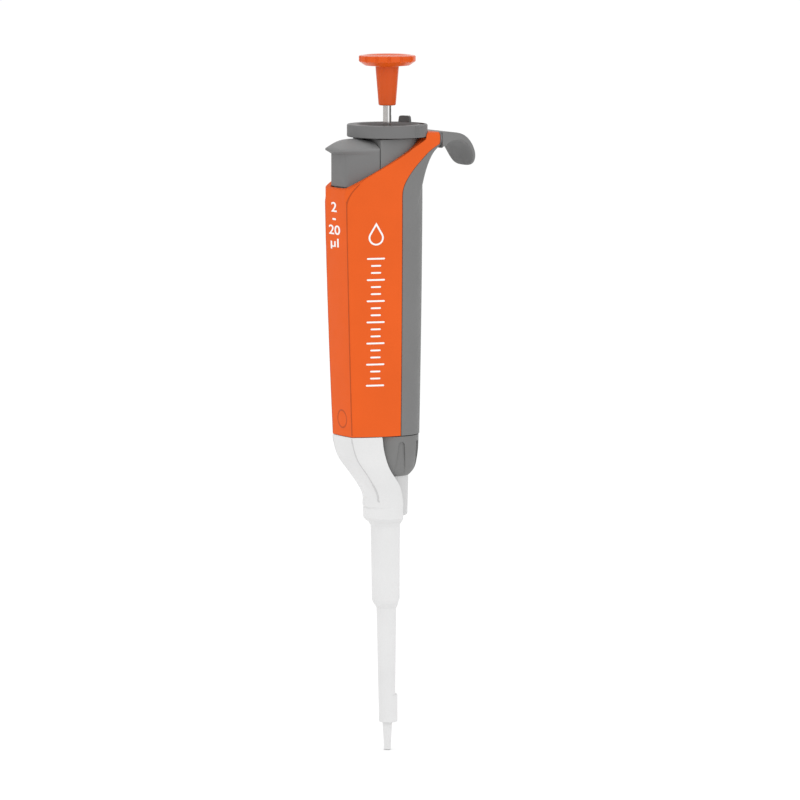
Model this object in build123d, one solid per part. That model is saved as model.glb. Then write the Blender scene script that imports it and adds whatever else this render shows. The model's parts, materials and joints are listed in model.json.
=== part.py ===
"""One-channel adjustable air-displacement pipette, 2 to 20 microlitres.

+Z is up along the piston axis, with the origin at the end of the tip cone.
-Y is the front, where the ejector key is, and +Y is the back, with the finger hook.
All lengths are in millimetres.
"""
from build123d import *
from math import asin, cos, radians, sin
import os

# ---- driving dimensions ----------------------------------------------------------------------
OVERALL_HEIGHT = 248.9          # tip cone end to the rim of the push button
STROKE = 12.0                   # plunger travel to the first stop
EJECT_TRAVEL = 8.0              # ejector key travel
PISTON_R = 0.728                # 20 microlitres over a 12 mm stroke
ROD_R = 1.5                     # control rod
RUNNING = 0.05                  # radial clearance of a running fit
MOVING_GAP = 0.3                # gap between moving casings

# casing
HOUSING_BOTTOM = 114.4
HOUSING_FLAT_TOP = 196.2        # above this the front face bows back towards the sides
CASING_TOP = 222.0
WALL = 1.7
FRONT_WALL = 0.9
SEAM = 0.12                     # half of the joint line between the two housings
RIM_Z = 202.0                   # height of the front wall's rim
RIM_Y = -21.2
RIM_SLOPE = 0.57
NECK_HALF = 9.4
NECK_BACK_HALF = 9.1
NECK_TOP = 221.6
HOOK_HALF = 9.6

# head
COLLAR_R = 14.3
COLLAR_OPENING_R = 10.45
COLLAR_BOTTOM = 220.0
COLLAR_TOP = 224.4
INSERT_TOP = 219.5
INSERT_FRONT = -8.3
INSERT_BOTTOM = 208.3
LOCK_ANGLE = 119.0              # direction of the lock tab from +X
LOCK_SWING = 58.0

# button and plunger
BUTTON_R = 10.05
BUTTON_UNDERSIDE = 245.1
STEM_BOTTOM = 231.0
STEM_TOP_R = 4.2
STEM_BOTTOM_R = 3.05
GRIP_GROOVES = 14
BLOWOUT_RING_TOP = 149.1
FLANGE_BOTTOM = BLOWOUT_RING_TOP + STROKE + 0.1
HOLDER_TOP = 140.0
HOLDER_FLANGE = 129.2
PISTON_BOTTOM = 80.0

# chassis and ejector bar
CHASSIS_R = 10.0
BAR_Y = -15.2
BAR_HALF_X = 2.2
BAR_HALF_Y = 1.1
BAR_BOTTOM = 109.0
BAR_TOP = 200.0

# counter
DRUM_R = 8.4
DRUM_HEIGHT = 5.0
DRUM_BOTTOM = 187.0
DRUM_PITCH = 6.0
DRUM_COUNT = 3
WINDOW_ANGLE = 205.0            # direction that the counter window faces
SPINDLE_R = 3.2
STOP_NUT_BOTTOM = 176.0
CARRY_Y = -10.4
CARRY_R = 1.75

# shaft and nut
NUT_TOP = 114.1
NUT_BOTTOM = 99.5
NUT_FLUTES = 8
SHAFT_TOP = 103.8
SHAFT_STEP = 85.1
LAND_R = 1.25
LAND_LENGTH = 2.0
AIR_BORE_R = 0.5

# housing cross-sections: height, half-width of the front face, front, half-width of the body
CASING_SECTIONS = [
    (113.0, 6.8, 18.6, 11.4),
    (155.0, 7.4, 20.15, 12.1),
    (HOUSING_FLAT_TOP, 7.7, 21.2, 12.5),
]
# the corner between front and side runs back from the flat top to this height
BOW_HEIGHT = 9.7
BOW_SETBACK = 6.6
BOW_WIDENING = 2.0
BOW_STEP = 2.0
# ejector arm, evenly spaced downwards: front half-width, front, half-width at the back edge, back edge
ARM_TOP = 114.2
ARM_BOTTOM = 88.0
ARM_WALL = 0.75
ARM_SECTIONS = [
    (6.8, 18.45, 10.5, -8.1),
    (6.85, 17.95, 10.4, -7.6),
    (6.8, 16.95, 10.25, -6.8),
    (6.65, 15.1, 10.05, -5.6),
    (6.45, 12.5, 9.75, -3.7),
    (6.15, 10.1, 9.2, -1.1),
    (5.8, 7.95, 8.75, 0.7),
    (5.4, 6.95, 8.45, 1.5),
    (5.25, 6.7, 8.35, 1.6),
]

os.makedirs("parts", exist_ok=True)


# ---- helpers -------------------------------------------------------------------------------
def save(shape, name):
    """Write one sub-part to its STEP file."""
    export_step(shape, f"parts/{name}.step")
    return shape


def ring(bottom, top, outer, inner=0.0, x=0.0, y=0.0):
    """A plain tube or disc about a vertical axis."""
    height = top - bottom
    tube = Cylinder(outer, height, align=(Align.CENTER, Align.CENTER, Align.MIN))
    if inner > 0:
        tube -= Pos(0, 0, -1) * Cylinder(inner, height + 2, align=(Align.CENTER, Align.CENTER, Align.MIN))
    return Pos(x, y, bottom) * tube


def block(low, high):
    """A box between two corners."""
    size = [b - a for a, b in zip(low, high)]
    centre = [(a + b) / 2 for a, b in zip(low, high)]
    return Pos(*centre) * Box(*size)


def turned(points):
    """A solid of revolution about Z from (radius, height) points."""
    outline = Polyline(*[(r, 0, z) for r, z in points], close=True)
    return revolve(make_face(outline), Axis.Z, 360)


def side_prism(outline, half_width):
    """Extrude an outline drawn in the YZ plane to both sides of X = 0."""
    face = Plane.YZ * make_face(outline)
    return extrude(face, half_width, both=True)


def coil(bottom, top, radius, wire, turns, x=0.0, y=0.0):
    """An open coil spring of round wire, standing between two heights."""
    height = top - bottom - 2 * wire
    path = Helix(pitch=height / turns, height=height, radius=radius)
    section = Plane(origin=path @ 0, z_dir=path % 0) * Circle(wire)
    return Pos(x, y, bottom + wire) * sweep(section, path, is_frenet=True)


# ---- casing form ---------------------------------------------------------------------------
def casing_face(z, corner_x, corner_y, front_y, side_x, shoulder=None):
    """Casing section: bowed front, sides tangent to the round back. A shoulder fills the front's corner."""
    chord_x = side_x - corner_x
    radius = (chord_x ** 2 + corner_y ** 2) / (2 * chord_x)
    half_turn = asin(corner_y / radius) / 2
    mid_x = side_x - radius + radius * cos(half_turn)
    mid_y = -radius * sin(half_turn)
    if shoulder is None:
        front = ThreePointArc((-corner_x, -corner_y), (0, -front_y), (corner_x, -corner_y))
    else:
        x, y = shoulder
        flank_x = x - 2.2
        flank_y = front_y - (front_y - y) * (flank_x / x) ** 2
        front = Spline(
            (-corner_x, -corner_y), (-x, -y), (-flank_x, -flank_y), (0, -front_y),
            (flank_x, -flank_y), (x, -y), (corner_x, -corner_y),
        )
    right = ThreePointArc((corner_x, -corner_y), (mid_x, mid_y), (side_x, 0))
    back = ThreePointArc((side_x, 0), (0, side_x), (-side_x, 0))
    left = ThreePointArc((-side_x, 0), (-mid_x, mid_y), (-corner_x, -corner_y))
    return Pos(0, 0, z) * make_face([front, right, back, left])


def casing_form(side_inset=0.0, front_inset=0.0, corner_inset=0.0, bowed=True):
    """The closed outer form of the casing, or a form inset from it."""
    front_bow = 0.25
    lower = []
    for z, corner_x, front_y, side_x in CASING_SECTIONS:
        y = front_y - front_inset
        lower.append(casing_face(z, corner_x - corner_inset, y - front_bow, y, side_x - side_inset))
    flat_x, flat_front, flat_side = CASING_SECTIONS[-1][1:]
    top_front = flat_front - front_inset
    upper = []
    z = HOUSING_FLAT_TOP
    while z <= CASING_TOP:
        rise = (z - HOUSING_FLAT_TOP) / BOW_HEIGHT if bowed else 0.0
        rise = min(rise, 1.3)
        corner_x = min(flat_x + BOW_WIDENING * rise ** 1.3, 10.9) - corner_inset
        corner_y = top_front - front_bow - BOW_SETBACK * rise ** 2
        shoulder = None
        if bowed:
            shoulder = (flat_x - 0.45 + 0.4 * rise, top_front - front_bow * 0.85 - 0.3 * rise ** 2)
        upper.append(casing_face(z, corner_x, corner_y, top_front, flat_side - side_inset, shoulder))
        z += BOW_STEP
    return loft(lower) + loft(upper)


def rim_height(y):
    """Height of the casing's sloping upper rim."""
    return RIM_Z + RIM_SLOPE * (y - RIM_Y)


def neck_form():
    """The neck that carries the finger hook, seen from the side."""
    lower = Spline(
        (4.4, 186.0), (6.5, 193.5), (8.5, 200.5), (10.1, 206.0), (12.1, 210.8), (14.6, 214.3),
        (17.6, 216.3),
    )
    outline = [
        lower,
        Polyline((17.6, 216.3), (17.6, NECK_TOP - 0.1), (9.7, NECK_TOP), (9.7, rim_height(9.0))),
        Polyline((9.7, rim_height(9.0)), (2.4, rim_height(2.4)), (2.4, 186.0), (4.4, 186.0)),
    ]
    body = side_prism(outline, 15)
    plan = Polyline((-12.16, 2.4), (12.16, 2.4), (NECK_BACK_HALF, 18), (-NECK_BACK_HALF, 18), close=True)
    limits = extrude(Pos(0, 0, 185) * make_face(plan), 40)
    neck = body & limits
    lower_edges = neck.edges().filter_by(lambda e: e.length > 15 and abs(e.center().X) > 8.5
                                         and e.center().Y > 6.0 and e.center().Z < 213)
    neck = fillet(lower_edges, 3.2)
    long_edges = neck.edges().filter_by(lambda e: e.length > 8 and abs(e.center().X) > 8)
    upper_edges = long_edges.filter_by(lambda e: e.center().Z > 220.5)
    return fillet(upper_edges, 1.6)


def hook_form():
    """Tongue-shaped finger hook: a curved plate with a rounded end."""
    top = Spline(
        (17.2, NECK_TOP - 0.1), (21.5, 221.3), (26.0, 220.3), (28.8, 217.9), (30.8, 214.4), (32.1, 208.7),
        tangents=((1, 0), (0.12, -1)),
    )
    under = Spline((31.1, 208.7), (29.7, 213.3), (27.5, 216.7), (24.2, 218.5), (20.8, 217.9), (17.2, 215.8))
    outline = [top, Line((32.1, 208.7), (31.1, 208.7)), under, Line((17.2, 215.8), (17.2, NECK_TOP - 0.1))]
    plate = side_prism(outline, HOOK_HALF)
    tongue_edge = [
        Polyline((-NECK_HALF, 224), (NECK_HALF, 224), (NECK_HALF, 221.3)),
        Spline((NECK_HALF, 221.3), (HOOK_HALF, 218), (9.1, 213.6), (6.9, 210.2), (0, 208.8),
               (-6.9, 210.2), (-9.1, 213.6), (-HOOK_HALF, 218), (-NECK_HALF, 221.3)),
        Line((-NECK_HALF, 221.3), (-NECK_HALF, 224)),
    ]
    limits = extrude(Plane.XZ * make_face(tongue_edge), -40)
    plate = plate & limits
    long_edges = plate.edges().filter_by(lambda e: e.length > 6 and abs(e.center().X) > 5
                                         and (e.center().Z > 217.6 or e.center().Y > 29.3))
    return fillet(long_edges, 0.5)


def below_rim():
    """Space above the casing's bottom edge and under its sloping rim."""
    outline = Polyline((-30, HOUSING_BOTTOM), (40, HOUSING_BOTTOM), (40, rim_height(40)),
                       (-30, rim_height(-30)), close=True)
    return side_prism(outline, 30)


def back_region(shift):
    """The part of space that the rear housing fills, behind the joint line."""
    joint = [
        Line((-0.95 + shift, 90), (-0.95 + shift, 196)),
        Spline((-0.95 + shift, 196), (-0.3 + shift, 203.0), (1.9 + shift, 206.6), (4.4 + shift, 209.2),
               (9.7 + shift, 213.7), (16.3 + shift, 217.3), tangents=((0, 1), (1, 0.42))),
        Polyline((16.3 + shift, 217.3), (16.3 + shift, 235), (60, 235), (60, 90), (-0.95 + shift, 90)),
    ]
    return side_prism(joint, 30)


def window_box(width, height, depth_low, depth_high):
    """A box along the counter window's line of sight."""
    z_mid = DRUM_BOTTOM + (DRUM_PITCH * (DRUM_COUNT - 1) + DRUM_HEIGHT) / 2
    centre = (depth_low + depth_high) / 2
    box = Pos(centre, 0, z_mid) * Box(depth_high - depth_low, width, height)
    return Rot(0, 0, WINDOW_ANGLE) * box


outer_form = casing_form() & below_rim()
neck = neck_form()
hook = hook_form()
collar_clearance = ring(COLLAR_BOTTOM - 0.4, 240, COLLAR_R + 0.2)
casing = (outer_form + neck + hook) - collar_clearance
inside = casing_form(WALL, FRONT_WALL, WALL + 0.35, bowed=False)
inside = inside & block((-20, -30, 90), (20, 10.8, 230))
window_hole = window_box(6.2, 17.6, 9.0, 16.0)
lens_blank = window_box(6.1, 17.5, 9.0, 16.0)

shell = casing - inside
front_housing = shell - back_region(-SEAM) - window_hole
rear_housing = shell & back_region(SEAM)
rear_housing -= window_hole
window_lens = (shell & lens_blank) - back_region(-SEAM)

# ---- head: fixed insert, collar, lock lever ---------------------------------------------------
well = ring(INSERT_BOTTOM - 1, INSERT_TOP + 5, 4.3)
insert_form = casing_form(WALL + 0.08, FRONT_WALL + 0.1, WALL + 0.45, bowed=False)
insert_form = insert_form & block((-20, INSERT_FRONT, INSERT_BOTTOM), (20, 10.4, INSERT_TOP))
spigot = ring(INSERT_TOP + 0.4, 221.5, COLLAR_OPENING_R - 0.02, 8.2)
spigot_step = ring(INSERT_TOP - 1, INSERT_TOP + 0.5, COLLAR_OPENING_R - 0.1, 8.2)
spigot += spigot_step & block((-20, INSERT_FRONT, 200), (20, 20, 230))
screw_places = [(-6.2, 4.2), (6.2, 4.2)]
head_insert = insert_form + spigot - well
for x, y in screw_places:
    head_insert -= ring(INSERT_BOTTOM - 1, INSERT_TOP + 1, 1.1, x=x, y=y)
    head_insert -= ring(INSERT_TOP - 1.4, INSERT_TOP + 1, 1.95, x=x, y=y)

head_screws = []
for x, y in screw_places:
    screw = ring(205.7, INSERT_TOP - 1.45, 1.0, x=x, y=y)
    screw += ring(INSERT_TOP - 1.35, INSERT_TOP - 0.1, 1.8, x=x, y=y)
    screw += ring(INSERT_TOP - 1.6, INSERT_TOP - 1.3, 1.0, x=x, y=y)
    screw -= Pos(x, y, INSERT_TOP - 0.3) * Box(0.5, 4.0, 0.6)
    head_screws.append(screw)

collar = turned([
    (COLLAR_OPENING_R, COLLAR_BOTTOM), (10.75, COLLAR_BOTTOM), (10.75, 221.3), (13.65, 221.3),
    (13.65, COLLAR_BOTTOM), (COLLAR_R - 0.25, COLLAR_BOTTOM), (COLLAR_R, COLLAR_BOTTOM + 0.25),
    (COLLAR_R, COLLAR_TOP - 0.3), (COLLAR_R - 0.3, COLLAR_TOP), (COLLAR_OPENING_R + 0.7, COLLAR_TOP),
    (COLLAR_OPENING_R, COLLAR_TOP - 0.9),
])
slot_low = LOCK_ANGLE - LOCK_SWING - 14
slot_sweep = LOCK_SWING + 28
slot_outline = Polyline((11.35, 221), (13.35, 221), (13.35, 226), (11.35, 226), close=True)
slot_face = Plane.XZ * make_face(slot_outline)
collar -= Rot(0, 0, slot_low) * revolve(slot_face, Axis.Z, slot_sweep)
for angle in (18, 162):
    collar -= Rot(0, 0, angle) * Pos(COLLAR_R + 0.9, 0, 222) * Cylinder(1.4, 8)

lock_ring = ring(220.15, 221.0, 13.4, 11.0)
tab_outline = [
    Line((-2.9, 220.6), (2.9, 220.6)),
    Line((2.9, 220.6), (2.1, 225.9)),
    ThreePointArc((2.1, 225.9), (1.85, 226.5), (1.3, 226.7)),
    Line((1.3, 226.7), (-1.3, 226.7)),
    ThreePointArc((-1.3, 226.7), (-1.85, 226.5), (-2.1, 225.9)),
    Line((-2.1, 225.9), (-2.9, 220.6)),
]
tab = extrude(Plane.XZ * make_face(tab_outline), 20, both=True)
tab = tab & block((-4, 8, 219), (4, 16, 228))
tab = tab & ring(219, 228, 13.05, 11.65)
lock_lever = lock_ring + Rot(0, 0, LOCK_ANGLE - 90) * tab

# ---- ejector key --------------------------------------------------------------------------
def key_plan(z, front_half, front, back_half, corner):
    """Key outline: narrow rounded front, sides widening to the back."""
    back = INSERT_FRONT - MOVING_GAP
    points = [(-front_half, front), (front_half, front), (back_half, back), (-back_half, back)]
    face = make_face(Polyline(*points, close=True))
    front_corners = face.vertices().sort_by(Axis.Y)[:2]
    return Pos(0, 0, z) * fillet(front_corners, corner)


def crown_form():
    """Domed top of the key: high in the middle, falling to the sides and the front lip."""
    sections = [
        (-24.0, 7.6, 215.0, 213.4), (-22.0, 7.7, 217.05, 215.3), (-20.0, 7.9, 218.55, 215.6),
        (-17.5, 8.3, 219.4, 215.4), (-14.0, 9.3, 219.65, 215.4), (-10.5, 10.0, 219.6, 215.9),
        (-7.0, 10.6, 219.3, 216.5),
    ]
    faces = []
    for y, half, middle, edge in sections:
        outline = [
            ThreePointArc((-half, edge), (0, middle), (half, edge)),
            Line((half, edge), (half, 185)),
            Line((half, 185), (-half, 185)),
            Line((-half, 185), (-half, edge)),
        ]
        faces.append(Pos(0, y, 0) * (Plane.XZ * make_face(outline)))
    return loft(faces)


key_body = extrude(key_plan(203.0, 5.6, -20.0, 9.75, 1.6), 17)
key_foot = extrude(key_plan(190.0, 5.1, -19.3, 9.0, 1.6), 13.2)
lip_low = key_plan(214.3, 5.6, -20.0, 9.75, 1.6)
lip_high = key_plan(215.6, 6.3, -22.1, 9.75, 1.6)
lip = loft([lip_low, lip_high]) + extrude(lip_high, 4)
ejector_key = (key_body + key_foot + lip) & crown_form()
chassis_relief = ring(180, 208 + EJECT_TRAVEL + 0.6, CHASSIS_R + MOVING_GAP)
wheel_relief = block((-3.2, -13.2, 180), (3.2, 0, 206.6 + EJECT_TRAVEL + 0.6))
key_socket = block((-BAR_HALF_X, BAR_Y - BAR_HALF_Y, 186), (BAR_HALF_X, BAR_Y + BAR_HALF_Y, BAR_TOP))
ejector_key = ejector_key - chassis_relief - wheel_relief - key_socket

# ---- chassis and counter ------------------------------------------------------------------
chassis = turned([
    (6.4, 104.0), (8.6, 104.0), (8.6, 116.0), (9.2, 116.6), (9.2, 149.0), (10.0, 150.0), (10.0, 208.0),
    (8.8, 208.0), (8.8, 186.0), (3.4, 186.0), (3.4, 184.2), (7.8, 184.2), (7.8, 150.4), (6.8, 150.4),
    (6.8, 149.2), (7.8, 149.2), (7.8, 141.5), (2.2, 141.5), (2.2, 140.4), (6.4, 140.4),
])
chassis += block((-5.0, -18.3, 146.5), (5.0, -8.6, 149.5))
chassis -= block((-2.5, BAR_Y - 1.4, 140), (2.5, BAR_Y + 1.4, 155))
chassis -= ring(141.5, 149.2, 7.8) & block((-9, -9, 141.6), (9, 0, 149.1))
chassis -= window_box(7.0, 18.0, 7.0, 12.0)
chassis -= block((-2.6, -12.0, 186.0), (2.6, -7.0, 208.5))
for angle in range(45, 360, 90):
    chassis += Rot(0, 0, angle) * block((6.75, -0.95, 160.0), (7.9, 0.95, 184.5))
top_plate = ring(205.6, 208.0, 8.75, 3.0)
for x, y in screw_places:
    top_plate -= ring(205.0, 209.0, 1.05, x=x, y=y)
rod_bush = ring(205.6, 209.4, 2.95, ROD_R + RUNNING) + ring(208.05, 209.4, 4.1, ROD_R + RUNNING)

spindle_top = DRUM_BOTTOM + DRUM_PITCH * (DRUM_COUNT - 1) + DRUM_HEIGHT + 0.3
volume_spindle = ring(165.0, 186.6, SPINDLE_R, ROD_R + RUNNING) + ring(186.3, 192.3, 2.6, ROD_R + RUNNING)
volume_spindle += ring(186.3, 186.8, 4.4, ROD_R + RUNNING)
volume_spindle += ring(192.0, spindle_top, 2.6, ROD_R + RUNNING)
for groove in range(14):
    z = 166.0 + 1.2 * groove
    volume_spindle -= turned([(SPINDLE_R + 0.1, z), (SPINDLE_R - 0.3, z + 0.3), (SPINDLE_R + 0.1, z + 0.6)])

drums = []
for index in range(DRUM_COUNT):
    bottom = DRUM_BOTTOM + DRUM_PITCH * index
    bore = 2.6 if index == 0 else 2.6 + RUNNING
    drum = ring(bottom, bottom + DRUM_HEIGHT, DRUM_R, 6.6) + ring(bottom, bottom + DRUM_HEIGHT, 3.6, bore)
    drum += ring(bottom + 2.0, bottom + 3.2, 7.0, 3.2)
    drums.append(drum)

carry_axle = ring(186.5, 204.8, 0.6, x=0, y=CARRY_Y)
carry_wheels = []
for index in range(DRUM_COUNT - 1):
    low = DRUM_BOTTOM + DRUM_PITCH * index + DRUM_HEIGHT - 1.6
    high = low + 4.2
    wheel = ring(low, high, CARRY_R, 0.6 + RUNNING, x=0, y=CARRY_Y)
    for tooth in range(8):
        angle = radians(45.0 * tooth)
        notch_x = CARRY_R * cos(angle)
        notch_y = CARRY_Y + CARRY_R * sin(angle)
        wheel -= ring(low - 1, high + 1, 0.3, x=notch_x, y=notch_y)
    carry_wheels.append(wheel)
chassis += block((-2.7, -11.6, 184.6), (2.7, -9.2, 186.45)) - ring(180, 190, 0.6, x=0, y=CARRY_Y)
chassis += block((-2.7, -11.6, 204.9), (2.7, -9.4, 206.6))

stop_nut = ring(STOP_NUT_BOTTOM, STOP_NUT_BOTTOM + 6, 7.3, SPINDLE_R + RUNNING)
for angle in range(0, 360, 90):
    stop_nut -= Rot(0, 0, angle + 45) * Pos(7.3, 0, STOP_NUT_BOTTOM + 3) * Box(1.6, 2.3, 7)

# ---- plunger: button, rod, stop flange, holder, piston ------------------------------------
button_top = OVERALL_HEIGHT
button_outline = [
    Line((0, button_top - 0.55), (6.6, button_top - 0.4)),
    Line((6.6, button_top - 0.4), (7.6, button_top - 0.05)),
    ThreePointArc((7.6, button_top - 0.05), (8.1, button_top), (8.6, button_top - 0.15)),
    Line((8.6, button_top - 0.15), (BUTTON_R - 0.4, button_top - 0.25)),
    ThreePointArc((BUTTON_R - 0.4, button_top - 0.25), (BUTTON_R - 0.1, button_top - 0.4),
                  (BUTTON_R, button_top - 0.75)),
    Line((BUTTON_R, button_top - 0.75), (BUTTON_R, button_top - 2.0)),
    ThreePointArc((BUTTON_R, button_top - 2.0), (BUTTON_R - 0.05, button_top - 2.25),
                  (BUTTON_R - 0.3, button_top - 2.5)),
    Line((BUTTON_R - 0.3, button_top - 2.5), (8.1, BUTTON_UNDERSIDE + 0.15)),
    ThreePointArc((8.1, BUTTON_UNDERSIDE + 0.15), (7.85, BUTTON_UNDERSIDE + 0.03), (7.5, BUTTON_UNDERSIDE)),
    Line((7.5, BUTTON_UNDERSIDE), (STEM_TOP_R + 0.5, BUTTON_UNDERSIDE)),
    ThreePointArc((STEM_TOP_R + 0.5, BUTTON_UNDERSIDE), (STEM_TOP_R + 0.12, BUTTON_UNDERSIDE - 0.18),
                  (STEM_TOP_R - 0.05, BUTTON_UNDERSIDE - 0.6)),
    Line((STEM_TOP_R - 0.05, BUTTON_UNDERSIDE - 0.6), (STEM_BOTTOM_R + 0.05, STEM_BOTTOM + 0.6)),
    ThreePointArc((STEM_BOTTOM_R + 0.05, STEM_BOTTOM + 0.6), (STEM_BOTTOM_R - 0.1, STEM_BOTTOM + 0.15),
                  (STEM_BOTTOM_R - 0.5, STEM_BOTTOM)),
    Line((STEM_BOTTOM_R - 0.5, STEM_BOTTOM), (0, STEM_BOTTOM)),
    Line((0, STEM_BOTTOM), (0, button_top - 0.55)),
]
push_button = revolve(Plane.XZ * make_face(button_outline), Axis.Z, 360)
for index in range(GRIP_GROOVES):
    groove = Pos(BUTTON_R + 0.2, 0, 248.0) * Cylinder(0.62, 4.4)
    push_button -= Rot(0, 0, 360 / GRIP_GROOVES * index) * groove
push_button -= ring(STEM_BOTTOM - 1, 242.5, ROD_R)

control_rod = ring(133.0, 242.5, ROD_R)
stop_flange = ring(FLANGE_BOTTOM, FLANGE_BOTTOM + 2, 5.5, ROD_R)
stop_flange += ring(FLANGE_BOTTOM + 1.5, FLANGE_BOTTOM + 3.2, 2.6, ROD_R)
piston_holder = turned([
    (0, HOLDER_FLANGE), (5.7, HOLDER_FLANGE), (5.7, HOLDER_FLANGE + 1.8), (3.2, HOLDER_FLANGE + 3.0),
    (3.2, HOLDER_TOP), (ROD_R + RUNNING, HOLDER_TOP), (ROD_R + RUNNING, 132.9), (0, 132.9),
])
piston_holder -= ring(HOLDER_FLANGE - 1, 131.4, PISTON_R)
piston = ring(PISTON_BOTTOM, 131.4, PISTON_R)

blowout_ring = turned([(1.7, 147.0), (7.5, 147.0), (7.5, 149.0), (6.5, 149.0), (6.5, 149.1), (1.7, 149.1)])
blowout_spring = coil(141.6, 146.95, 5.2, 0.45, 3.5)
main_spring = coil(94.1, HOLDER_FLANGE - 0.05, 4.6, 0.4, 10)

# ---- shaft, seal and nut ------------------------------------------------------------------
shaft = turned([
    (AIR_BORE_R, 0), (LAND_R, 0), (LAND_R, LAND_LENGTH), (1.74, 9.5), (1.8, 9.9),
    (2.15, 20.0), (2.55, 50.0), (2.65, 53.2), (4.1, 53.9), (4.4, 54.6), (4.5, 84.4), (5.0, SHAFT_STEP),
    (6.9, SHAFT_STEP), (7.15, SHAFT_STEP + 0.4), (7.5, 99.4), (7.5, 101.4), (8.3, 101.4), (8.3, SHAFT_TOP),
    (5.7, SHAFT_TOP), (5.7, 88.0), (1.1, 88.0), (1.1, 62.0), (AIR_BORE_R, 61.0),
])
SEAL_R = PISTON_R + 0.02
piston_seal = turned([(SEAL_R, 88.0), (3.0, 88.0), (3.0, 89.4), (2.0, 90.2), (SEAL_R, 90.2)])
o_ring = Pos(0, 0, 89.1) * Torus(4.4, 1.0)
seal_retainer = turned([
    (1.3, 90.4), (5.6, 90.4), (5.6, 94.0), (3.4, 94.0), (3.4, 93.0), (1.3, 93.0),
])

nut_outline = [
    Line((8.75, NUT_TOP), (11.15, NUT_TOP)),
    Spline((11.15, NUT_TOP), (10.95, 108.4), (10.4, 104.6), (9.7, 102.1), (8.6, 100.4), (7.7, NUT_BOTTOM)),
    Line((7.7, NUT_BOTTOM), (7.62, NUT_BOTTOM)),
    Line((7.62, NUT_BOTTOM), (7.62, 101.3)),
    Line((7.62, 101.3), (8.65, 101.3)),
    Line((8.65, 101.3), (8.75, NUT_TOP)),
]
connecting_nut = revolve(Plane.XZ * make_face(nut_outline), Axis.Z, 360)
flute_floor = turned([
    (0, 98), (8.1, 98), (8.65, 100.4), (9.65, 102.1), (10.12, 104.6), (10.5, 108.4), (10.72, 112.5),
    (0, 112.5),
])
flute_outline = [
    Line((-2.4, 98.5), (2.4, 98.5)),
    Line((2.4, 98.5), (1.2, 110.8)),
    ThreePointArc((1.2, 110.8), (0, 112.1), (-1.2, 110.8)),
    Line((-1.2, 110.8), (-2.4, 98.5)),
]
flute = extrude(Plane.YZ * make_face(flute_outline), 14) - flute_floor
connecting_nut -= [Rot(0, 0, 360 / NUT_FLUTES * index - 2.5) * flute for index in range(NUT_FLUTES)]

# ---- ejector arm, sleeve, bar and spring --------------------------------------------------
def arm_face(z, front_half, front, back_half, back_y, inset=0.0, reach=0.0):
    """Arm section: bowed front, bulging sides, straight open back."""
    fx = front_half - inset * 0.75
    fy = -front + inset
    bx = back_half - inset
    by = back_y + reach
    roundness = max(0.0, min(1.0, (101.0 - z) / 9.0))
    crown = 0.2 + roundness * 1.55
    mid_x = (fx + bx) / 2 + 0.45 + 0.65 * roundness
    mid_y = (fy + by) / 2 - 0.2
    front_arc = ThreePointArc((-fx, fy), (0, fy - crown), (fx, fy))
    right = ThreePointArc((fx, fy), (mid_x, mid_y), (bx, by))
    back = Line((bx, by), (-bx, by))
    left = ThreePointArc((-bx, by), (-mid_x, mid_y), (-fx, fy))
    return Pos(0, 0, z) * make_face([front_arc, right, back, left])


arm_step = (ARM_TOP - ARM_BOTTOM) / (len(ARM_SECTIONS) - 1)
arm_heights = [ARM_TOP - arm_step * index for index in range(len(ARM_SECTIONS))]
arm_outer = loft([arm_face(z, *section) for z, section in zip(arm_heights, ARM_SECTIONS)])
arm_cuts = [
    arm_face(z, *section, inset=ARM_WALL, reach=0.6) for z, section in zip(arm_heights, ARM_SECTIONS)
]
arm_inner = loft(arm_cuts)
nut_room = turned([
    (0, 98.5), (8.1, 98.5), (9.2, 100.4), (10.25, 102.1), (10.95, 104.6), (11.45, 108.4),
    (11.6, 113.9), (0, 113.9),
])
arm = arm_outer - arm_inner - nut_room - ring(84.5, 100.0, 7.67)
sleeve = turned([
    (7.6, 88.7), (8.25, 88.7), (8.66, 87.5), (8.66, 84.2), (8.0, 83.4), (6.8, 82.5), (5.95, 81.1),
    (5.5, 54.3),
    (5.2, 53.4), (3.9, 51.5), (3.78, 47.0), (3.2, 20.0), (2.97, 11.0), (2.7, 10.2), (2.15, 10.1),
    (2.45, 20.0), (2.85, 50.0), (2.95, 52.2), (4.7, 53.2), (4.8, 54.3), (4.9, 82.0), (5.4, 83.2),
    (7.55, 84.3),
])
sleeve -= block((-20, 1.6, 19.9), (20, 20, 95))
tip_ring = Pos(0, 0.35, 10.1) * Cylinder(3.3, 9.8, align=(Align.CENTER, Align.CENTER, Align.MIN))
tip_ring -= ring(0, 25, 2.45)
ejector_sleeve = arm + sleeve + tip_ring
bar_block = block((-5.2, -17.6, 108.6), (5.2, -12.2, 113.8)) & arm_outer
bar_block -= ring(95, 116, 11.2 + MOVING_GAP)
bar_slot = block((-BAR_HALF_X, BAR_Y - BAR_HALF_Y, BAR_BOTTOM), (BAR_HALF_X, BAR_Y + BAR_HALF_Y, 120))
ejector_sleeve = ejector_sleeve + bar_block - bar_slot
ejector_bar = block(
    (-BAR_HALF_X, BAR_Y - BAR_HALF_Y, BAR_BOTTOM), (BAR_HALF_X, BAR_Y + BAR_HALF_Y, BAR_TOP),
)
ejector_spring = coil(149.8, 189.8, 3.05, 0.35, 11, x=0, y=BAR_Y)

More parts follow.
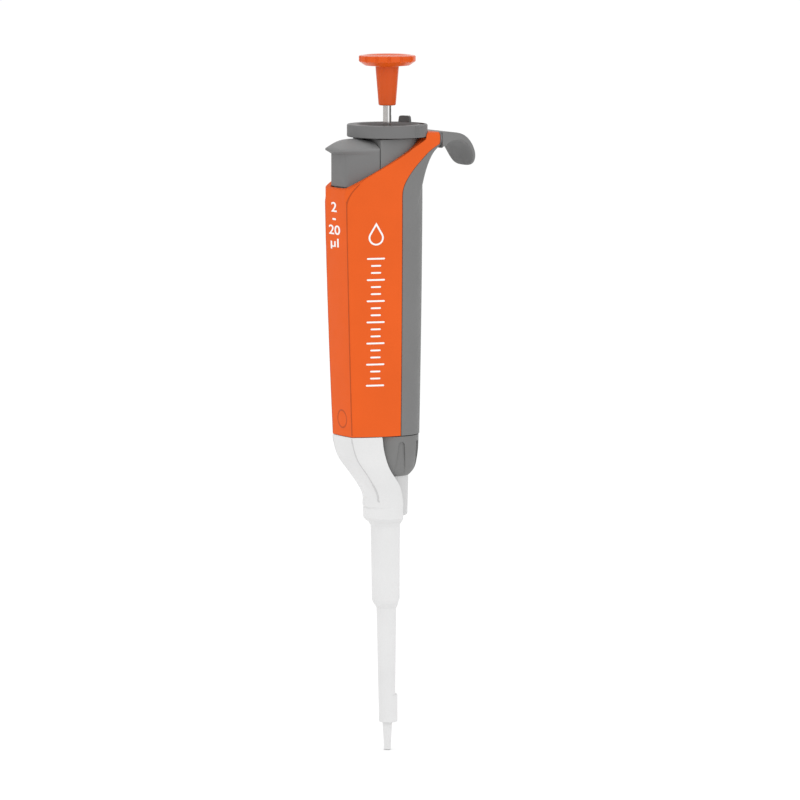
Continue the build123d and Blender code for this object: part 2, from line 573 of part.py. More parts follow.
NODES = {
    "front_housing": front_housing,
    "rear_housing": rear_housing,
    "window_lens": window_lens,
    "head_insert": head_insert,
    "head_screws": Compound(children=head_screws),
    "collar": collar,
    "lock_lever": lock_lever,
    "chassis": chassis,
    "top_plate": top_plate,
    "rod_bush": rod_bush,
    "volume_spindle": volume_spindle,
    "tenths_drum": drums[0],
    "units_drum": drums[1],
    "tens_drum": drums[2],
    "carry_axle": carry_axle,
    "lower_carry_wheel": carry_wheels[0],
    "upper_carry_wheel": carry_wheels[1],
    "stop_nut": stop_nut,
    "push_button": push_button,
    "control_rod": control_rod,
    "stop_flange": stop_flange,
    "piston_holder": piston_holder,
    "piston": piston,
    "blowout_ring": blowout_ring,
    "blowout_spring": blowout_spring,
    "main_spring": main_spring,
    "shaft": shaft,
    "piston_seal": piston_seal,
    "o_ring": o_ring,
    "seal_retainer": seal_retainer,
    "connecting_nut": connecting_nut,
    "ejector_key": ejector_key,
    "ejector_bar": ejector_bar,
    "ejector_spring": ejector_spring,
    "ejector_sleeve": ejector_sleeve,
}
for name, shape in NODES.items():
    save(shape, name)
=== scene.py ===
"""Looks for a one-channel adjustable pipette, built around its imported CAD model.

Everything is in metres in the CAD frame: +Z up the piston axis, -Y the front with the ejector key,
+Y the back with the finger hook.
"""
import json
import math

import bmesh
import bpy
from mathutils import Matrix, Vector
from mathutils.bvhtree import BVHTree


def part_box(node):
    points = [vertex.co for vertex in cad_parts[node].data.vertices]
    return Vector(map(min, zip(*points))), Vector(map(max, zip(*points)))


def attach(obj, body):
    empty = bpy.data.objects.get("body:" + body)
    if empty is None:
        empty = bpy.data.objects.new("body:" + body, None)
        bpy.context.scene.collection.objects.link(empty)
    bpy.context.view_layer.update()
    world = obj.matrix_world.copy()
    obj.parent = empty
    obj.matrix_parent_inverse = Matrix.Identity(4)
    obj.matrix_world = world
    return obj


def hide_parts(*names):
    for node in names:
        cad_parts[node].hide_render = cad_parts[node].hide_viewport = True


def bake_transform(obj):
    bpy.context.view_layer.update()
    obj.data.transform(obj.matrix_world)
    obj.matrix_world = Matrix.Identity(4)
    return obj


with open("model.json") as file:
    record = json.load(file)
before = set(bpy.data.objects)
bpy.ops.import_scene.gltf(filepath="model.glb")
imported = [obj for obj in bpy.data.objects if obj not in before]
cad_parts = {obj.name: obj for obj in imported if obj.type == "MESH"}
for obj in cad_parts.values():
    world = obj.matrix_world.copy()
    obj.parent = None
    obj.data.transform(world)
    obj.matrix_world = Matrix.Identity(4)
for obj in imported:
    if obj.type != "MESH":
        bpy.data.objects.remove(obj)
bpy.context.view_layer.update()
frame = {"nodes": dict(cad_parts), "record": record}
nodes = frame["nodes"]
MM = 0.001


# ---- shading ------------------------------------------------------------------------------------
# noise scales, in cycles a metre
DRIFT_SCALE = 55.0
SPECK_SCALE = 2600.0
WIPE_SCALE = 260.0
WAVE_SCALE = 120.0
LINE_SCALE = 900.0
STAIN_SCALE = 180.0
HAZE_SCALE = 420.0

WIPE_SPREAD = 0.08              # how far wipe marks move a plastic's roughness either way
PLASTIC_EDGE = 0.12 * MM        # the radius that sharp edges seem to have
METAL_EDGE = 0.08 * MM
METAL_STRETCH = (1.0, 1.0, 40.0)
EDGE_SAMPLES = 4


def new_material(name):
    """An empty material with a Principled shader."""
    material = bpy.data.materials.new(name)
    material.use_nodes = True
    tree = material.node_tree
    return material, tree, tree.nodes["Principled BSDF"]


def object_coordinates(tree):
    """Coordinates fixed to the object, in metres."""
    return tree.nodes.new("ShaderNodeTexCoord").outputs["Object"]


def noise(tree, vector, scale, detail=3.0, roughness=0.55):
    """A noise texture's value."""
    node = tree.nodes.new("ShaderNodeTexNoise")
    node.inputs["Scale"].default_value = scale
    node.inputs["Detail"].default_value = detail
    node.inputs["Roughness"].default_value = roughness
    tree.links.new(vector, node.inputs["Vector"])
    return node.outputs["Fac"]


def remap(tree, value, low, high, start=0.3, end=0.7):
    """Map a value from start..end onto low..high."""
    node = tree.nodes.new("ShaderNodeMapRange")
    node.inputs["From Min"].default_value = start
    node.inputs["From Max"].default_value = end
    node.inputs["To Min"].default_value = low
    node.inputs["To Max"].default_value = high
    tree.links.new(value, node.inputs["Value"])
    return node.outputs["Result"]


def blend_colours(tree, factor, first, second):
    """Mix two colours by a factor; either colour may be a socket or a tuple."""
    node = tree.nodes.new("ShaderNodeMix")
    node.data_type = "RGBA"
    tree.links.new(factor, node.inputs["Factor"])
    # inputs 6 and 7 are the two colours of a mix in RGBA form, and output 2 is its colour
    for socket, colour in ((node.inputs[6], first), (node.inputs[7], second)):
        if isinstance(colour, tuple):
            socket.default_value = (*colour, 1.0)
        else:
            tree.links.new(colour, socket)
    return node.outputs[2]


def scaled(colour, factor):
    """A colour made lighter or darker."""
    return tuple(min(1.0, channel * factor) for channel in colour)


def rounded_normal(tree, radius):
    """A normal that rounds the CAD model's sharp edges a little."""
    node = tree.nodes.new("ShaderNodeBevel")
    node.samples = EDGE_SAMPLES
    node.inputs["Radius"].default_value = radius
    return node.outputs["Normal"]


def bump(tree, height, strength, distance, normal=None):
    """Surface relief from a height value."""
    node = tree.nodes.new("ShaderNodeBump")
    node.inputs["Strength"].default_value = strength
    node.inputs["Distance"].default_value = distance
    tree.links.new(height, node.inputs["Height"])
    if normal is not None:
        tree.links.new(normal, node.inputs["Normal"])
    return node.outputs["Normal"]


def plastic(name, colour, rough=0.42, grain=0.25, grain_mm=0.22, coat=0.0, specular=0.16, painted_light_band=None):
    """Moulded plastic: fine spark-eroded grain, slow colour drift, faint wipe marks in the gloss.

    A painted light band is (low z, high z, factor): painted light or shade, the colour above the band as a
    factor of the colour below it.
    """
    material, tree, shader = new_material(name)
    place = object_coordinates(tree)
    drift = noise(tree, place, DRIFT_SCALE, 2.0)
    speck = noise(tree, place, SPECK_SCALE, 2.0)
    wipe = noise(tree, place, WIPE_SCALE, 4.0, 0.65)
    base = blend_colours(tree, remap(tree, drift, 0.0, 1.0), scaled(colour, 0.965), scaled(colour, 1.035))
    fleck = blend_colours(tree, remap(tree, speck, 0.0, 0.35, 0.35, 0.75), base, scaled(colour, 0.9))
    # painted light or shade: the colour steps lighter or darker above a height
    if painted_light_band is not None:
        low, high, factor = painted_light_band
        axes = tree.nodes.new("ShaderNodeSeparateXYZ")
        tree.links.new(place, axes.inputs["Vector"])
        rise = remap(tree, axes.outputs["Z"], 0.0, 1.0, low, high)
        fleck = blend_colours(tree, rise, fleck, scaled(colour, factor))
    tree.links.new(fleck, shader.inputs["Base Color"])
    gloss = remap(tree, wipe, rough - WIPE_SPREAD, rough + WIPE_SPREAD)
    tree.links.new(gloss, shader.inputs["Roughness"])
    pebble = noise(tree, place, 1.0 / (grain_mm * MM), 2.0, 0.6)
    wave = noise(tree, place, WAVE_SCALE, 1.0)
    broad = bump(tree, wave, 0.35, 0.06 * MM, rounded_normal(tree, PLASTIC_EDGE))
    tree.links.new(bump(tree, pebble, grain, 0.03 * MM, broad), shader.inputs["Normal"])
    shader.inputs["Specular IOR Level"].default_value = specular
    shader.inputs["Coat Weight"].default_value = coat
    shader.inputs["Coat Roughness"].default_value = 0.25
    return material


def metal(name, colour, rough, spread=0.05, grain=0.2):
    """Turned metal with fine lines around its axis and faint stains."""
    material, tree, shader = new_material(name)
    place = object_coordinates(tree)
    mapping = tree.nodes.new("ShaderNodeMapping")
    mapping.inputs["Scale"].default_value = METAL_STRETCH
    tree.links.new(place, mapping.inputs["Vector"])
    lines = noise(tree, mapping.outputs["Vector"], LINE_SCALE, 3.0, 0.6)
    stain = noise(tree, place, STAIN_SCALE, 3.0)
    base = blend_colours(tree, remap(tree, stain, 0.0, 1.0), scaled(colour, 0.92), scaled(colour, 1.04))
    tree.links.new(base, shader.inputs["Base Color"])
    tree.links.new(remap(tree, lines, rough - spread, rough + spread), shader.inputs["Roughness"])
    relief = bump(tree, lines, grain, 0.01 * MM, rounded_normal(tree, METAL_EDGE))
    tree.links.new(relief, shader.inputs["Normal"])
    shader.inputs["Metallic"].default_value = 1.0
    return material


def clear_plastic(name):
    """Clear moulded window with a faint haze."""
    material, tree, shader = new_material(name)
    place = object_coordinates(tree)
    haze = noise(tree, place, HAZE_SCALE, 4.0, 0.7)
    tint = blend_colours(tree, remap(tree, haze, 0.0, 1.0), (0.93, 0.95, 0.96), (0.98, 0.99, 1.0))
    tree.links.new(tint, shader.inputs["Base Color"])
    tree.links.new(remap(tree, haze, 0.02, 0.09), shader.inputs["Roughness"])
    tree.links.new(bump(tree, haze, 0.05, 0.02 * MM), shader.inputs["Normal"])
    shader.inputs["Transmission Weight"].default_value = 1.0
    shader.inputs["IOR"].default_value = 1.49
    return material


ORANGE = (0.750, 0.114, 0.0190)
ORANGE_BUTTON = (0.635, 0.085, 0.009)
GREY = (0.188, 0.188, 0.187)
KEY_GREY = (0.180, 0.180, 0.180)
COLLAR_GREY = (0.165, 0.165, 0.165)
NUT_GREY = (0.192, 0.192, 0.190)
DARK_GREY = (0.135, 0.135, 0.135)
BLACK = (0.03, 0.03, 0.032)
DEEP_BLACK = (0.02, 0.02, 0.02)
WHITE = (0.715, 0.715, 0.715)

# painted light: the button's head is painted 1.08 times lighter than its stem, which stands in for the
# stem's shade under the head
HEAD_PAINTED_LIGHT = (0.2443, 0.2455, 1.08)      # the button's head over its stem
# painted light: the key's upward-facing crown is painted 1.3 times lighter than its sides, as if lit from
# above
CROWN_PAINTED_LIGHT = (0.2152, 0.2168, 1.3)      # the key's crown over its sides
# painted shade: the shaft just under the nut is painted at 0.8 of the tip cone's colour, which stands in
# for the shade of the nut
SHAFT_PAINTED_SHADE = (0.076, 0.086, 0.8)         # the shaft under the nut over the tip cone

# one material for each slot of the record
materials = {
    "orange_casing": plastic("orange_casing", ORANGE, rough=0.46, grain=0.22, specular=0.05),
    # the button's material carries painted light, with its head lighter than its stem
    "orange_button": plastic("orange_button", ORANGE_BUTTON, rough=0.22, grain=0.1, coat=0.05, specular=0.2,
                             painted_light_band=HEAD_PAINTED_LIGHT),
    "grey_casing": plastic("grey_casing", GREY, rough=0.5, grain=0.3),
    # the key's material carries painted light on its crown
    "grey_key": plastic("grey_key", KEY_GREY, rough=0.48, grain=0.3, painted_light_band=CROWN_PAINTED_LIGHT),
    "dark_grey_plastic": plastic("dark_grey_plastic", DARK_GREY, grain=0.2),
    "black_plastic": plastic("black_plastic", BLACK, rough=0.45),
    "drum_plastic": plastic("drum_plastic", (0.78, 0.78, 0.75), rough=0.4, grain=0.15),
    "white_plastic": plastic("white_plastic", WHITE, rough=0.44, grain=0.2),
    "seal_plastic": plastic("seal_plastic", (0.8, 0.79, 0.72), rough=0.5, grain=0.2),
    "black_rubber": plastic("black_rubber", DEEP_BLACK, rough=0.62, grain=0.5, grain_mm=0.35),
    "polished_steel": metal("polished_steel", (0.84, 0.83, 0.82), 0.1, 0.03, grain=0.1),
    "steel": metal("steel", (0.6, 0.6, 0.6), 0.3),
    "spring_steel": metal("spring_steel", (0.5, 0.5, 0.51), 0.28),
    "brass": metal("brass", (0.78, 0.58, 0.25), 0.28),
    "clear_lens": clear_plastic("clear_lens"),
}
# nodes whose shade in the photograph differs a little from the rest of their slot
own_materials = {
    "connecting_nut": plastic("nut_grey", NUT_GREY, rough=0.5, grain=0.3),
    "collar": plastic("collar_grey", COLLAR_GREY, rough=0.46, grain=0.3),
    # the shaft's material carries painted shade under the nut
    "shaft": plastic("shaft_white_painted_shade", WHITE, rough=0.4, grain=0.15, painted_light_band=SHAFT_PAINTED_SHADE),
}
white_ink = plastic("white_ink", (0.9, 0.9, 0.89), rough=0.35, grain=0.1, grain_mm=0.12)
black_ink = plastic("black_ink", DEEP_BLACK, rough=0.35, grain=0.1, grain_mm=0.12)
# darker copies of the casing and arm colours: both paint the shade in the corner creases, and the orange
# one also colours the printed ring mark
orange_mark_and_painted_shade = plastic("orange_mark_and_painted_shade", scaled(ORANGE, 0.66), rough=0.55, grain=0.1)
white_painted_shade = plastic("white_painted_shade", scaled(WHITE, 0.82), rough=0.5, grain=0.1)

slot_of = {entry["node"]: entry["material_slot"] for entry in frame["record"]["subparts"]}
for node_name, node in nodes.items():
    material = own_materials.get(node_name, materials[slot_of[node_name]])
    node.data.materials.clear()
    node.data.materials.append(material)


# ---- flat meshes for markings -------------------------------------------------------------------
# the corners of a ribbon's cross-section: which side, and above or below
RIBBON_CORNERS = ((1, 1), (-1, 1), (-1, -1), (1, -1))
CAP_ANGLES = (0, 30, 60)        # degrees round a ribbon's end
CAP_TIP = 0.04                  # half the width at the very end, as a share of the ribbon's width
DROP_STEPS = 24


def flat_text(text, width, height, thickness, weight=0.0):
    """A thin solid lettering mesh, centred and scaled to a size. The weight thickens its strokes."""
    curve = bpy.data.curves.new("lettering", "FONT")
    curve.body = text
    curve.extrude = 0.5     # any depth, as the two levels are set below
    curve.offset = weight
    curve.resolution_u = 4
    helper = bpy.data.objects.new("lettering", curve)
    bpy.context.scene.collection.objects.link(helper)
    bpy.context.view_layer.update()
    solid = helper.evaluated_get(bpy.context.evaluated_depsgraph_get())
    mesh = bpy.data.meshes.new_from_object(solid)
    bpy.data.objects.remove(helper)
    xs = [vertex.co.x for vertex in mesh.vertices]
    ys = [vertex.co.y for vertex in mesh.vertices]
    for vertex in mesh.vertices:
        vertex.co.x = (vertex.co.x - (min(xs) + max(xs)) / 2) * width / (max(xs) - min(xs))
        vertex.co.y = (vertex.co.y - (min(ys) + max(ys)) / 2) * height / (max(ys) - min(ys))
        vertex.co.z = thickness / 2 if vertex.co.z > 0 else -thickness / 2
    return mesh


def side_faces(low, high, corners):
    """The quads between two rings of points, given each ring's first index."""
    quads = []
    for corner in range(corners):
        after = (corner + 1) % corners
        quads.append((low + corner, low + after, high + after, high + corner))
    return quads


def ribbon_section(centre, offset, thickness):
    """The four corners of a ribbon's cross-section around a point in a plane."""
    corners = []
    for side, level in RIBBON_CORNERS:
        spot = centre + offset * side
        corners.append((spot.x, spot.y, thickness / 2 * level))
    return corners


def finished_mesh(name, points, faces):
    """A mesh from points and faces."""
    mesh = bpy.data.meshes.new(name)
    mesh.from_pydata(points, [], faces)
    mesh.update()
    return mesh


def stroke_mesh(name, strokes, thickness, step=0.0005):
    """Thin solid ribbons with round ends, from (start, end, width) strokes in a plane."""
    points = []
    faces = []
    cap = [math.radians(angle) for angle in CAP_ANGLES]
    for start, end, width in strokes:
        first = Vector(start)
        last = Vector(end)
        along = (last - first).normalized()
        across = Vector((-along.y, along.x))
        length = (last - first).length
        count = max(2, int(length / step))
        rows = []
        for angle in cap:
            rows.append((-width / 2 * math.cos(angle), width / 2 * math.sin(angle)))
        for index in range(count + 1):
            rows.append((length * index / count, width / 2))
        for angle in reversed(cap):
            rows.append((length + width / 2 * math.cos(angle), width / 2 * math.sin(angle)))
        base = len(points)
        for travel, half in rows:
            points += ribbon_section(first + along * travel, across * max(half, width * CAP_TIP), thickness)
        top = base + 4 * (len(rows) - 1)
        for low in range(base, top, 4):
            faces += side_faces(low, low + 4, 4)
        faces.append((base + 3, base + 2, base + 1, base))
        faces.append((top, top + 1, top + 2, top + 3))
    return finished_mesh(name, points, faces)


def loop_mesh(name, outline, width, thickness):
    """A thin solid closed line through points in a plane."""
    ring = [Vector(spot) for spot in outline]
    count = len(ring)
    points = []
    faces = []
    for index in range(count):
        before = (ring[index] - ring[index - 1]).normalized()
        after = (ring[(index + 1) % count] - ring[index]).normalized()
        along = (before + after).normalized()
        across = Vector((-along.y, along.x)) * (width / 2 / max(0.5, along.dot(after)))
        points += ribbon_section(ring[index], across, thickness)
        faces += side_faces(4 * index, 4 * ((index + 1) % count), 4)
    return finished_mesh(name, points, faces)


def drop_outline(radius, tip):
    """A falling drop's outline: a round bottom and a tip above."""
    points = [(0.0, tip)]
    lean = math.acos(radius / tip)
    for step in range(DROP_STEPS + 1):
        angle = math.pi / 2 - lean - (2 * math.pi - 2 * lean) * step / DROP_STEPS
        points.append((radius * math.cos(angle), radius * math.sin(angle)))
    return points


def ring_outline(radius, steps):
    """A circle's outline."""
    turn = 2 * math.pi / steps
    return [(radius * math.cos(turn * step), radius * math.sin(turn * step)) for step in range(steps)]


# ---- placing on the surface ---------------------------------------------------------------------
RAY_START = 0.05                # rays start this far from the middle planes, clear of the object
INK = 0.08 * MM
INK_LIFT = 0.01 * MM
DIGIT_LIFT = 0.02 * MM


def surface_of(name):
    """A ray-cast tree over a CAD node at rest."""
    mesh = nodes[name].data
    points = [vertex.co.copy() for vertex in mesh.vertices]
    faces = [list(polygon.vertices) for polygon in mesh.polygons]
    return BVHTree.FromPolygons(points, faces)


def meet(tree, start, direction):
    """Where a ray meets a surface, or None."""
    return tree.ray_cast(Vector(start), Vector(direction))[0]


def land(tree, start, direction, height=0.0):
    """Where a ray meets a surface, lifted off it by a height against the ray."""
    hit = meet(tree, start, direction)
    if hit is None:
        raise ValueError(f"a ray from {start} met no surface")
    return hit - Vector(direction).normalized() * height


def add_piece(name, mesh, body, material, place):
    """Put a flat mesh onto a curved surface with a place function, and let it ride on a body."""
    for vertex in mesh.vertices:
        vertex.co = place(vertex.co.x, vertex.co.y, vertex.co.z)
    mesh.materials.clear()
    mesh.materials.append(material)
    mesh.update()
    piece = bpy.data.objects.new(name, mesh)
    bpy.context.scene.collection.objects.link(piece)
    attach(piece, body)


casing_surface = surface_of("front_housing")
arm_surface = surface_of("ejector_sleeve")


def on_front(centre_x, centre_z):
    """Placing on the casing's front face."""
    def place(u, v, w):
        return land(casing_surface, (centre_x + u, -RAY_START, centre_z + v), (0, 1, 0), w + INK_LIFT)
    return place


def on_side(centre_y, centre_z):
    """Placing on the casing's +X side, with a marking's right towards the back."""
    def place(u, v, w):
        return land(casing_surface, (RAY_START, centre_y + u, centre_z + v), (-1, 0, 0), w + INK_LIFT)
    return place


def on_drum(radius, centre_angle, centre_z):
    """Placing around a counter drum."""
    def place(u, v, w):
        angle = centre_angle + u / radius
        reach = radius + w + DIGIT_LIFT
        return Vector((reach * math.cos(angle), reach * math.sin(angle), centre_z + v))
    return place


# ---- markings -----------------------------------------------------------------------------------
# the volume range, stacked down the front face: text, height of its middle, width, height
RANGE_MARKS = (
    ("2", 0.1957, 0.0039, 0.0035),
    ("20", 0.1876, 0.0081, 0.0034),
    ("µl", 0.1827, 0.0058, 0.0038),
)
RANGE_X = -0.0009
RANGE_WEIGHT = 0.014
DASH_Z = 0.1914
DASH_REACH = 0.0009
DASH_WIDTH = 0.0007
for index, (text, z, width, height) in enumerate(RANGE_MARKS):
    lettering = flat_text(text, width, height, INK, RANGE_WEIGHT)
    add_piece(f"range_mark_{index}", lettering, "handle", white_ink, on_front(RANGE_X, z))
dash = stroke_mesh("range_dash", [((-DASH_REACH, 0.0), (DASH_REACH, 0.0), DASH_WIDTH)], INK, 0.0004)
add_piece("range_dash", dash, "handle", white_ink, on_front(RANGE_X, DASH_Z))

# a drop and a plain graduated scale on the side panel
PANEL_Y = -0.0109
PANEL_STROKE = 0.00062
DROP_Z = 0.1852
DROP_RADIUS = 0.0024
DROP_TIP = 0.0048
SCALE_TOP = 0.1778
SCALE_STEP = 0.0025
SCALE_TICKS = 19
LONG_TICK_EVERY = 3
LONG_REACH = 0.0029
SHORT_REACH = 0.0015
drop = loop_mesh("side_drop", drop_outline(DROP_RADIUS, DROP_TIP), PANEL_STROKE, INK)
add_piece("side_drop", drop, "handle", white_ink, on_side(PANEL_Y, DROP_Z))
strokes = []
for tick in range(SCALE_TICKS):
    reach = LONG_REACH if tick % LONG_TICK_EVERY == 0 else SHORT_REACH
    strokes.append(((-reach, -SCALE_STEP * tick), (reach, -SCALE_STEP * tick), PANEL_STROKE))
scale = stroke_mesh("side_scale", strokes, INK)
add_piece("side_scale", scale, "handle", white_ink, on_side(PANEL_Y, SCALE_TOP))

# a plain ring low on the front face
RING_X = 0.0007
RING_Z = 0.1205
RING_R = 0.0031
RING_WIDTH = 0.00055
RING_THICKNESS = 0.04 * MM
RING_STEPS = 28
ring_mesh = loop_mesh("front_ring", ring_outline(RING_R, RING_STEPS), RING_WIDTH, RING_THICKNESS)
add_piece("front_ring", ring_mesh, "handle", orange_mark_and_painted_shade, on_front(RING_X, RING_Z))


# ---- corner creases, drawn as thin strips of painted shade --------------------------------------
CREASE_HALF = 0.0002            # half the strip's width
CREASE_LIFT = 0.05 * MM         # half its thickness
SEARCH_START = 0.003            # where the search for a corner starts, out from the middle plane
SEARCH_STEP = 0.00008
SEARCH_COUNT = 110
FLAT_TOP = 0.1962               # the casing's front face is flat up to here, and bows back above
CASING_FOOT = 0.1149
CASING_STEPS = 40
CASING_LEAN = 0.6
SHOULDER_STEPS = 12
SHOULDER_STEP = 0.0815          # of the whole rise
SHOULDER_HEIGHT = 0.0097
SHOULDER_X = 0.0077             # the crease's distance from the middle plane, and how far it moves out
SHOULDER_SPREAD = 0.0020
SHOULDER_Y = -0.02095           # its y, and how far it moves back
SHOULDER_BOW = 0.0066
CASING_FRONT_Y = -0.0212
RIM_FRONT_Z = 0.202             # the casing's rim starts here at the front face, and climbs to the back
RIM_SLOPE = 0.57
RIM_GAP = 0.0003
ARM_TOP = 0.1139
ARM_DROP = 0.0236
ARM_STEPS = 27
ARM_LEAN = 0.7


def corner_spot(tree, side, z, lean):
    """The corner between front and side faces at a height, as seen along a leaning direction."""
    best = None
    for step in range(SEARCH_COUNT):
        x = side * (SEARCH_START + SEARCH_STEP * step)
        hit = meet(tree, (x, -RAY_START, z), (0, 1, 0))
        if hit is None:
            continue
        reach = side * hit.x * lean - hit.y * math.sqrt(1 - lean * lean)
        if best is None or reach > best[0]:
            best = (reach, hit.x, hit.y)
    return best[1], best[2]


def shoulder_spot(rise):
    """Height, x and y of the crease on the casing's bowed shoulder, for a rise from 0 to 1."""
    z = FLAT_TOP + SHOULDER_HEIGHT * rise
    return z, SHOULDER_X + SHOULDER_SPREAD * rise ** 1.3, SHOULDER_Y + SHOULDER_BOW * rise ** 2


def rim_height(y):
    """The height of the casing's sloping rim."""
    return RIM_FRONT_Z + RIM_SLOPE * (y - CASING_FRONT_Y)


def crease(name, tree, side, spots, body, material):
    """A thin folded strip of painted shade over a corner, from (z, corner x, corner y) spots."""
    corner_out = Vector((side * 0.7, -0.7, 0.0))
    points = []
    for z, x, y in spots:
        flank = land(tree, (side * RAY_START, y + CREASE_HALF, z), (-side, 0, 0))
        front = meet(tree, (side * RAY_START, y - CREASE_HALF, z), (-side, 0, 0))
        if front is None or abs(front.x - x) > 3 * CREASE_HALF:
            # the front face lies along the ray here, so it is met from the front
            front = land(tree, (x - side * CREASE_HALF, -RAY_START, z), (0, 1, 0))
        layers = []
        for lift in (CREASE_LIFT, -CREASE_LIFT):
            layers.append(front + Vector((0, -1, 0)) * lift)
            layers.append(Vector((x, y, z)) + corner_out * lift)
            layers.append(flank + Vector((side, 0, 0)) * lift)
        points += [tuple(layers[index]) for index in (0, 1, 2, 5, 4, 3)]
    faces = []
    last = len(points) - 6
    for low in range(0, last, 6):
        faces += side_faces(low, low + 6, 6)
    faces.append((5, 4, 3, 2, 1, 0))
    faces.append(tuple(range(last, last + 6)))
    mesh = finished_mesh(name, points, faces)
    add_piece(name, mesh, body, material, lambda u, v, w: Vector((u, v, w)))


for side, label in ((1, "right"), (-1, "left")):
    spots = []
    for step in range(CASING_STEPS + 1):
        z = CASING_FOOT + (FLAT_TOP - CASING_FOOT) * step / CASING_STEPS
        spots.append((z, *corner_spot(casing_surface, side, z, CASING_LEAN)))
    for step in range(1, SHOULDER_STEPS + 1):
        z, x, y = shoulder_spot(SHOULDER_STEP * step)
        if z < rim_height(y) - RIM_GAP:
            spots.append((z, side * x, y))
    crease(f"casing_crease_shade_{label}", casing_surface, side, spots, "handle", orange_mark_and_painted_shade)
    spots = []
    for step in range(ARM_STEPS + 1):
        z = ARM_TOP - ARM_DROP * step / ARM_STEPS
        spots.append((z, *corner_spot(arm_surface, side, z, ARM_LEAN)))
    crease(f"arm_crease_shade_{label}", arm_surface, side, spots, "ejector", white_painted_shade)


# ---- counter digits -----------------------------------------------------------------------------
# node, body, digits round the drum, digit in the window at rest, width of a digit
DRUMS = (
    ("tenths_drum", "spindle", 20, 0, 0.0016),
    ("units_drum", "units", 10, 0, 0.0022),
    ("tens_drum", "tens", 10, 2, 0.0022),
)
DIGIT_HEIGHT = 0.0032
WINDOW_ANGLE = math.radians(205)
for drum, body, count, shown, width in DRUMS:
    low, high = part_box(drum)
    radius = (high.x - low.x) / 2
    middle = (low.z + high.z) / 2
    for digit in range(count):
        angle = WINDOW_ANGLE - 2 * math.pi / count * (digit - shown)
        mesh = flat_text(str(digit % 10), width, DIGIT_HEIGHT, INK)
        place = on_drum(radius, angle, middle)
        add_piece(f"{drum}_digit_{digit}", mesh, body, black_ink, place)


# ---- smooth shading -----------------------------------------------------------------------------
SMOOTH_ANGLE = math.radians(28)     # edges sharper than this stay sharp
for node in nodes.values():
    node.data.polygons.foreach_set("use_smooth", [True] * len(node.data.polygons))
    node.data.set_sharp_from_angle(angle=SMOOTH_ANGLE)


# ---- springs ------------------------------------------------------------------------------------
def coil_part(name, node, low_z, high_z):
    """The part of a spring between two heights, closed where it is cut."""
    form = bmesh.new()
    form.from_mesh(nodes[node].data)
    for height, outward in ((low_z, -1), (high_z, 1)):
        everything = form.verts[:] + form.edges[:] + form.faces[:]
        bmesh.ops.bisect_plane(form, geom=everything, plane_co=(0, 0, height), plane_no=(0, 0, outward),
                               clear_outer=True)
        bmesh.ops.holes_fill(form, edges=[edge for edge in form.edges if edge.is_boundary])
    mesh = nodes[node].data.copy()
    form.to_mesh(mesh)
    form.free()
    coil = bpy.data.objects.new(name, mesh)
    bpy.context.scene.collection.objects.link(coil)
    return coil


# The main spring crosses two joints, so it is cut in two parts, each with a share of the height to suit its
# joint's travel.
# name, node, body below, body above, share of the height at the part's bottom and top
SPRINGS = (
    ("blowout_coil", "blowout_spring", "handle", "blowout", 0.0, 1.0),
    ("ejector_coil", "ejector_spring", "handle", "ejector", 0.0, 1.0),
    ("main_coil_low", "main_spring", "handle", "blowout", 0.0, 0.2),
    ("main_coil_high", "main_spring", "blowout", "plunger", 0.2, 1.0),
)
END_ROOM = 0.1 * MM                 # a whole end is kept whole by cutting this far beyond it
for name, spring, below, above, first, last in SPRINGS:
    low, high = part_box(spring)
    bottom = low.z + (high.z - low.z) * first
    top = low.z + (high.z - low.z) * last
    cut_low = bottom - END_ROOM if first == 0.0 else bottom
    cut_high = top + END_ROOM if last == 1.0 else top
    coil = coil_part(name, spring, cut_low, cut_high)
    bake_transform(coil)
    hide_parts(spring)


# ---- stage, light and camera --------------------------------------------------------------------
CAMERA_DISTANCE = 1.9
CAMERA_AZIMUTH = math.radians(60)
CAMERA_HEIGHT = 0.345
CAMERA_LENS = 241.7
CAMERA_AIM = Vector((0.00227, 0.00392, 0.126))
LIGHT_AIM = Vector((0.0, 0.0, 0.13))
WORLD_STRENGTH = 1.07
FLOOR_REACH = 40.0
FLOOR_Z = -0.0002
CARD_RADIUS = 1.3
CARD_HEIGHT = 1.1
CARD_FACET = 8                      # degrees
MATT = 0.9


def stage_object(name, points, faces, colour):
    """A mesh object in one plain matt colour, and its shader."""
    mesh = finished_mesh(name, points, faces)
    material, _, shader = new_material(name)
    shader.inputs["Base Color"].default_value = (*colour, 1.0)
    shader.inputs["Roughness"].default_value = MATT
    mesh.materials.append(material)
    thing = bpy.data.objects.new(name, mesh)
    bpy.context.scene.collection.objects.link(thing)
    return thing, shader


def studio_card(name, first, last, colour):
    """A curved upright card around the object that only shows in reflections.

    The angles are in degrees from the camera, to the right of it.
    """
    points = []
    count = max(2, int(abs(last - first) / CARD_FACET))
    for step in range(count + 1):
        turn = CAMERA_AZIMUTH + math.radians(first + (last - first) * step / count)
        for z in (0.0, CARD_HEIGHT):
            points.append((CARD_RADIUS * math.sin(turn), -CARD_RADIUS * math.cos(turn), z))
    faces = [(low, low + 2, low + 3, low + 1) for low in range(0, 2 * count, 2)]
    card = stage_object(name, points, faces, colour)[0]
    card.visible_camera = False
    card.visible_diffuse = False
    card.visible_shadow = False
    card.visible_transmission = False


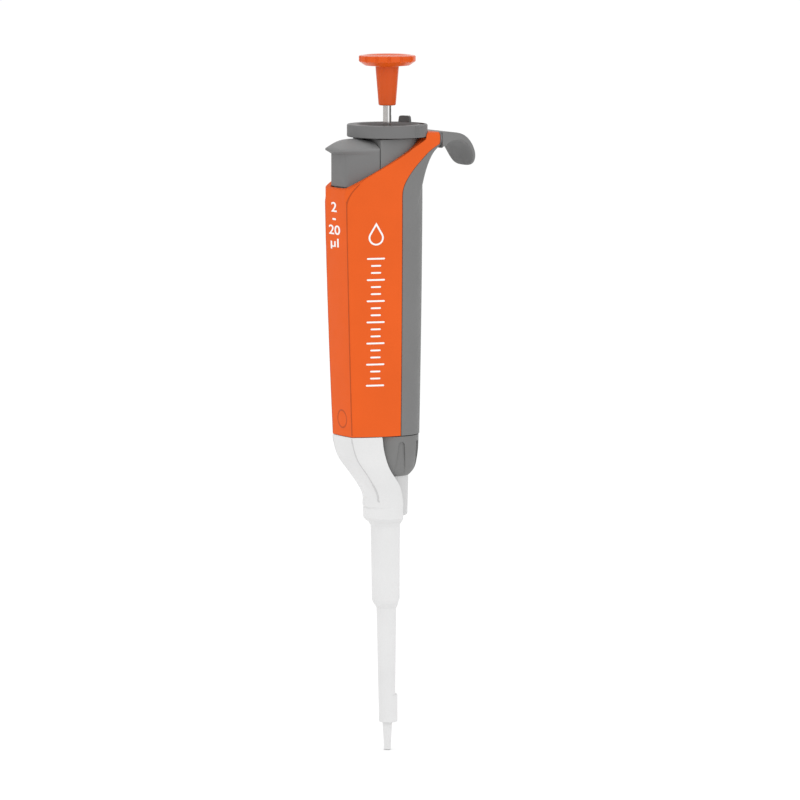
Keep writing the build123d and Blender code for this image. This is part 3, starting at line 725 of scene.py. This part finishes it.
def soft_light(name, position, size, energy):
    """A white area light aimed at the object."""
    data = bpy.data.lights.new(name, "AREA")
    data.shape = "RECTANGLE"
    data.size, data.size_y = size
    data.energy = energy
    light = bpy.data.objects.new(name, data)
    light.location = position
    light.rotation_euler = (LIGHT_AIM - Vector(position)).to_track_quat("-Z", "Y").to_euler()
    bpy.context.scene.collection.objects.link(light)


floor_points = [
    (-FLOOR_REACH, -FLOOR_REACH, FLOOR_Z), (FLOOR_REACH, -FLOOR_REACH, FLOOR_Z),
    (FLOOR_REACH, FLOOR_REACH, FLOOR_Z), (-FLOOR_REACH, FLOOR_REACH, FLOOR_Z),
]
floor, floor_shader = stage_object("floor", floor_points, [(0, 1, 2, 3)], (0.95, 0.95, 0.95))
floor_shader.inputs["Specular IOR Level"].default_value = 0.0
studio_card("grey_card", -165, -4, (0.50, 0.485, 0.475))
studio_card("slim_card", -4, 12, (0.30, 0.30, 0.30))
studio_card("dark_card", 66, 132, (0.10, 0.10, 0.10))

world = bpy.data.worlds.new("studio")
bpy.context.scene.world = world
world.use_nodes = True
background = world.node_tree.nodes["Background"]
background.inputs["Color"].default_value = (1.0, 1.0, 1.0, 1.0)
background.inputs["Strength"].default_value = WORLD_STRENGTH
soft_light("key", (0.2, -1.6, 1.3), (1.2, 1.2), 2.5)
soft_light("fill", (1.8, 0.3, 0.9), (1.0, 1.4), 3.0)

camera_data = bpy.data.cameras.new("camera")
camera_data.lens = CAMERA_LENS
camera_data.sensor_width = 36.0
camera_data.clip_start = 0.05
camera_data.clip_end = 100.0
camera = bpy.data.objects.new("camera", camera_data)
camera.location = (
    CAMERA_DISTANCE * math.sin(CAMERA_AZIMUTH), -CAMERA_DISTANCE * math.cos(CAMERA_AZIMUTH), CAMERA_HEIGHT,
)
camera.rotation_euler = (CAMERA_AIM - camera.location).to_track_quat("-Z", "Y").to_euler()
bpy.context.scene.collection.objects.link(camera)
bpy.context.scene.camera = camera
bpy.context.scene.view_settings.view_transform = "Standard"
